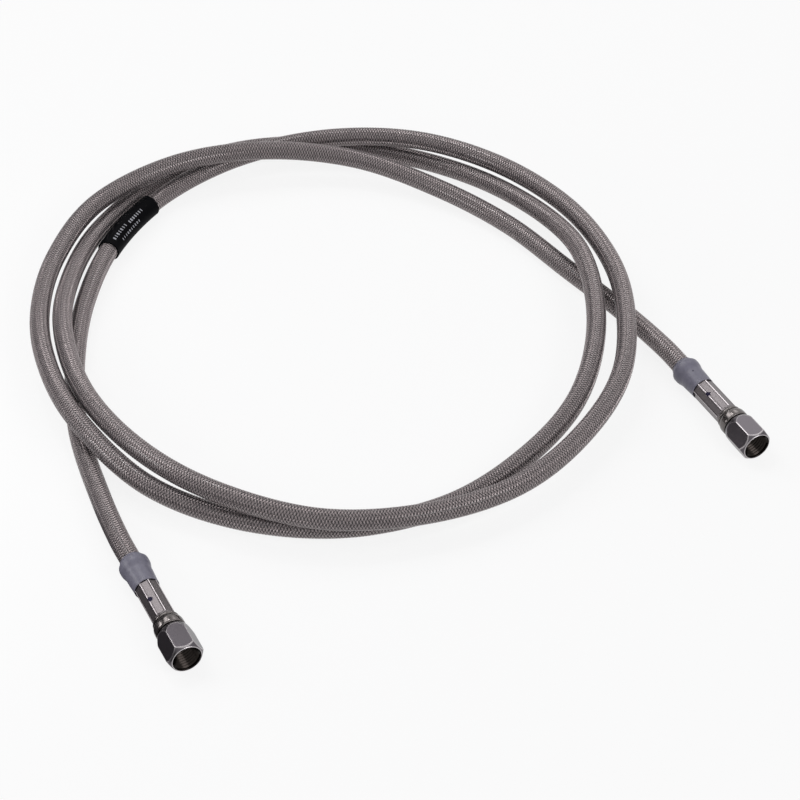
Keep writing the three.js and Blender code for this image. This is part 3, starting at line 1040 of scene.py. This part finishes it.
def nutRows(steps=8):
    # the nut's rows as (radius, station, painted highlight), each one value or one for each column;
    # the outside and the mouth's face come first, then the bore, going back
    angle = np.arange(nut["columns"]) * 2 * math.pi / nut["columns"]
    outline = hexRadius(angle)
    offCorner = np.abs((angle / (math.pi / 3)) % 1 - 0.5) * math.pi / 3 * outline
    # a painted highlight along each corner of the hex
    ridge = np.exp(-(offCorner / nut["highlightWidth"]) ** 2)
    corner = nut["acrossFlats"] / 2 / math.cos(math.pi / 6)
    frontSlope = nut["frontTaper"] / (corner - nut["frontRadius"])

    def domed(radius):
        share = (radius - nut["backRadius"]) / (corner - nut["backRadius"])
        return nut["back"] + nut["backTaper"] * share ** nut["backRound"]

    dome = [nut["backRadius"] + (outline - nut["backRadius"]) * k / steps for k in range(steps)]
    inBack, flatBack = outline - nut["backEdge"][0], domed(outline) + nut["backEdge"][1]
    frontEdge = nut["front"] - (outline - nut["frontRadius"]) * frontSlope
    inFront, flatFront = nut["frontEdge"][0], frontEdge - nut["frontEdge"][1]
    inRim, backRim = nut["rimEdge"]
    threadFront = nut["front"] - (nut["mouthRadius"] - nut["threadRoot"])
    threadBack = nut["back"] + nut["rearWall"]
    outside = [(nut["hole"], nut["back"], 0)]
    outside += [(radius, domed(radius), 0) for radius in dome]
    outside += [
        (inBack, domed(inBack), 0.5), (outline, flatBack, 0.5),
        (outline, flatBack + nut["highlightWidth"], ridge), (outline, flatFront - nut["highlightWidth"], ridge),
        (outline, flatFront, 1), (outline - inFront, frontEdge + inFront, 1),
        (outline - nut["highlightFront"], frontEdge + nut["highlightFront"] * frontSlope, 0),
        (nut["frontRadius"] + nut["highlightRim"], nut["front"] - nut["highlightRim"] * frontSlope, 0),
        (nut["frontRadius"], nut["front"] - backRim, 1), (nut["frontRadius"] - inRim, nut["front"], 1),
    ]
    bore = [
        (nut["mouthRadius"], nut["front"], 1), (nut["threadRoot"], threadFront, 0),
        (nut["threadRoot"], threadBack, 0), (nut["hole"], threadBack, 0),
    ]
    return outside, bore


def makeNut(tag, end, axis, material, shadedBore):
    outside, bore = nutRows()
    rows = outside + bore
    radius, station, wear = [
        np.array([np.ones(nut["columns"]) * row[k] for row in rows]) for k in range(3)
    ]
    grid = fittingGrid(end, axis, radius * mm, station * mm)
    along = station.mean(axis=1) * mm
    inside = (len(outside), shadedBore)
    piece = closedGrid("swivelNut" + tag, grid, along, material, nut["sharpAngle"], inside)
    addPaintedLight(piece, wear)
    return piece


def threadTree():
    # a wire of square section wound in a helix, standing proud of the bore
    inputs = {
        "Crest radius": ("Float", nut["threadCrest"] * mm),
        "Root radius": ("Float", nut["threadRoot"] * mm),
        "Pitch": ("Float", nut["pitch"] * mm),
        "Turns": ("Float", nut["threadTurns"]),
        "Steps per turn": ("Int", nut["threadSteps"]),
        "Material": ("Material", None),
    }
    tree = newTree("nutThread", inputs)
    given = addNode(tree, "NodeGroupInput").outputs
    spiral = addNode(tree, "GeometryNodeCurveSpiral", {
        "Resolution": given["Steps per turn"],
        "Start Radius": given["Root radius"],
        "End Radius": given["Root radius"],
        "Rotations": given["Turns"],
        "Height": addMath(tree, "MULTIPLY", given["Turns"], given["Pitch"]),
    })
    section = addNode(tree, "GeometryNodeCurvePrimitiveCircle", {
        "Resolution": 4,
        "Radius": addMath(tree, "SUBTRACT", given["Root radius"], given["Crest radius"]),
    })
    upright = addNode(tree, "GeometryNodeSetCurveNormal", {0: spiral.outputs[0]}, mode="Z_UP")
    sweep = addNode(tree, "GeometryNodeCurveToMesh", {
        "Curve": upright.outputs[0],
        "Profile Curve": section.outputs[0],
        "Fill Caps": True,
    })
    finishTree(tree, sweep.outputs[0], given["Material"])
    return tree


def fittingPlace(end, axis, station):
    # turns a piece made around +Z so that it lies along a fitting's axis
    across = axis.cross(Vector((0, 0, 1)))
    turn = Matrix((-across, Vector((0, 0, 1)), axis)).transposed().to_4x4()
    return Matrix.Translation(end + axis * station) @ turn


def makeThread(tag, end, axis, tree, material):
    start = (nut["front"] - nut["threadStart"] - nut["threadTurns"] * nut["pitch"]) * mm
    piece = grown("nutThread" + tag, tree, {"Material": material}, fittingPlace(end, axis, start))
    piece.data.shade_smooth()
    piece.data.set_sharp_from_angle(angle=math.radians(nut["threadSharpAngle"]))
    return piece


finishes = {
    "sleeveA": sleeveMaterial("A"),
    "sleeveB": sleeveMaterial("B"),
    "ferruleA": ferruleMaterial("A"),
    "ferruleB": ferruleMaterial("B"),
    "nipple": nippleMaterial(),
    "nut": nutMaterial(),
    "bore": boreMaterial(),
    "thread": threadMaterial(),
}
screwTree = threadTree()

for tag, node, end, axis in (("A", "a", endA, axisA), ("B", "b", endB, axisB)):
    fixed = {
        "heat_shrink_": makeSleeve(tag, end, axis, finishes["sleeve" + tag]),
        "crimp_ferrule_": makeFerrule(tag, end, axis, finishes["ferrule" + tag]),
        "nipple_": makeNipple(tag, end, axis, finishes["nipple"]),
    }
    for stem, piece in fixed.items():
        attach(piece, "hose_assembly")
        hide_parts(stem + node)
    nutPiece = makeNut(tag, end, axis, finishes["nut"], finishes["bore"])
    thread = makeThread(tag, end, axis, screwTree, finishes["thread"])
    for piece in (nutPiece, thread):
        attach(piece, "nut_" + node)
    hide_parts("swivel_nut_" + node)
print("end fittings made")

hoseSlots = {
    "clear_cover": (cover, "clear_cover"),
    "steel_braid": (braid, "braid"),
    "hose_liner": (liner, "liner"),
    "label_sleeve": (bandPiece, "band"),
}
for node, (piece, slot) in hoseSlots.items():
    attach(piece, "hose_assembly")
    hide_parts(node)
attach(printPiece, "hose_assembly")
for piece in wirePieces:
    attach(piece, "hose_assembly")

# Floor, light and background

studio = {
    "floorColor": (236, 236, 236),
    "floorHalf": 3.0,
    "backdropShare": 0.86,
    "worldColor": (176, 176, 180),
    "worldStrength": 0.75,
    "lookAt": (0, 0.05, 0),
    "cardColor": (80, 77, 81),
    # the standing card's four corners, five more for the one on the floor, four for the one overhead
    "cardCorners": ((-0.34, -0.5, 0.001), (-0.34, 0.9, 0.001), (-0.34, 0.9, 0.35), (-0.34, -0.5, 0.35),
                    (-0.125, 0, 0.001), (-0.112, -0.024, 0.001), (-0.098, -0.068, 0.001),
                    (-0.11, -0.5, 0.001), (-0.34, 0.06, 0.001),
                    (-0.36, 0.633, 0.612), (0, 0.633, 0.612), (0, 0.487, 0.748), (-0.36, 0.487, 0.748)),
    "cardFaces": ((0, 1, 2, 3), (0, 7, 6, 5, 4, 8), (9, 10, 11, 12)),
    # each lamp's place, its size both ways, in metres, and its power in watts
    "lamps": {
        "keyLight": ((-0.68, 0.66, 0.88), (0.7, 0.7), 5.0),
        "glintLight": ((-0.25, 0.62, 1.05), (0.1, 0.1), 1.2),
        "rearLight": ((0.26, 0.78, 0.68), (0.3, 0.3), 0.6),
        "sideLight": ((-0.33, -0.01, 0.12), (0.09, 0.09), 0.2),
        "fillLight": ((0.9, -0.8, 0.9), (0.9, 0.5), 7),
    },
}


def seenDirectly(finish):
    # 1 for what the camera, mirrors and glass show, 0 for the light that falls on other things
    path = finish.tree.nodes.new("ShaderNodeLightPath")
    rays = ("Is Camera Ray", "Is Glossy Ray", "Is Transmission Ray")
    seen, glossy, through = (Value(finish, path.outputs[ray]) for ray in rays)
    return (seen + glossy + through).clamped()


def makeFloor():
    finish = Finish("floorPaper", baseColor=shade(*studio["floorColor"]), roughness=0.9)
    glow = finish.node("ShaderNodeEmission", {}, {"Color": (1, 1, 1, 1), "Strength": 1.0})
    paper = Value(finish, finish.shader.outputs[0])
    share = seenDirectly(finish) * studio["backdropShare"]
    both = finish.node("ShaderNodeMixShader", {}, {0: share, 1: paper, 2: glow})
    finish.plug(finish.tree.nodes["Material Output"].inputs[0], both)
    mesh = bpy.data.meshes.new("floor")
    half = studio["floorHalf"]
    corners = [(-half, -half, 0), (half, -half, 0), (half, half, 0), (-half, half, 0)]
    mesh.from_pydata(corners, [], [(0, 1, 2, 3)])
    mesh.materials.append(finish.material)
    addObject("floor", mesh)


def makeCard():
    # dark cards to the left, on the floor beside the left fitting and overhead, for reflections alone
    mesh = bpy.data.meshes.new("darkCard")
    mesh.from_pydata(studio["cardCorners"], [], studio["cardFaces"])
    mesh.materials.append(Finish("cardFelt", baseColor=shade(*studio["cardColor"]), roughness=1.0).material)
    card = addObject("darkCard", mesh)
    card.visible_camera = card.visible_diffuse = card.visible_shadow = card.visible_transmission = False


def makeWorld():
    world = bpy.data.worlds.new("studio")
    bpy.context.scene.world = world
    world.use_nodes = True
    tree = world.node_tree
    path = addNode(tree, "ShaderNodeLightPath").outputs
    seen = path["Is Camera Ray"]
    for ray in ("Is Glossy Ray", "Is Transmission Ray"):
        seen = addMath(tree, "MAXIMUM", seen, path[ray])
    white = addNode(tree, "ShaderNodeBackground", {"Color": (1, 1, 1, 1)})
    soft = tree.nodes["Background"]
    soft.inputs["Color"].default_value = shade(*studio["worldColor"])
    soft.inputs["Strength"].default_value = studio["worldStrength"]
    both = addNode(tree, "ShaderNodeMixShader", {0: seen, 1: soft.outputs[0], 2: white.outputs[0]})
    tree.links.new(both.outputs[0], tree.nodes["World Output"].inputs[0])


def makeLamp(name, place, size, power):
    data = bpy.data.lights.new(name, "AREA")
    data.shape = "RECTANGLE"
    data.size, data.size_y = size
    data.energy = power
    obj = bpy.data.objects.new(name, data)
    obj.location = place
    obj.rotation_euler = (Vector(studio["lookAt"]) - Vector(place)).to_track_quat("-Z", "Y").to_euler()
    bpy.context.scene.collection.objects.link(obj)


makeFloor()
makeCard()
makeWorld()
for name, (place, size, power) in studio["lamps"].items():
    makeLamp(name, place, size, power)
bpy.context.scene.view_settings.view_transform = "Standard"
print("studio set")
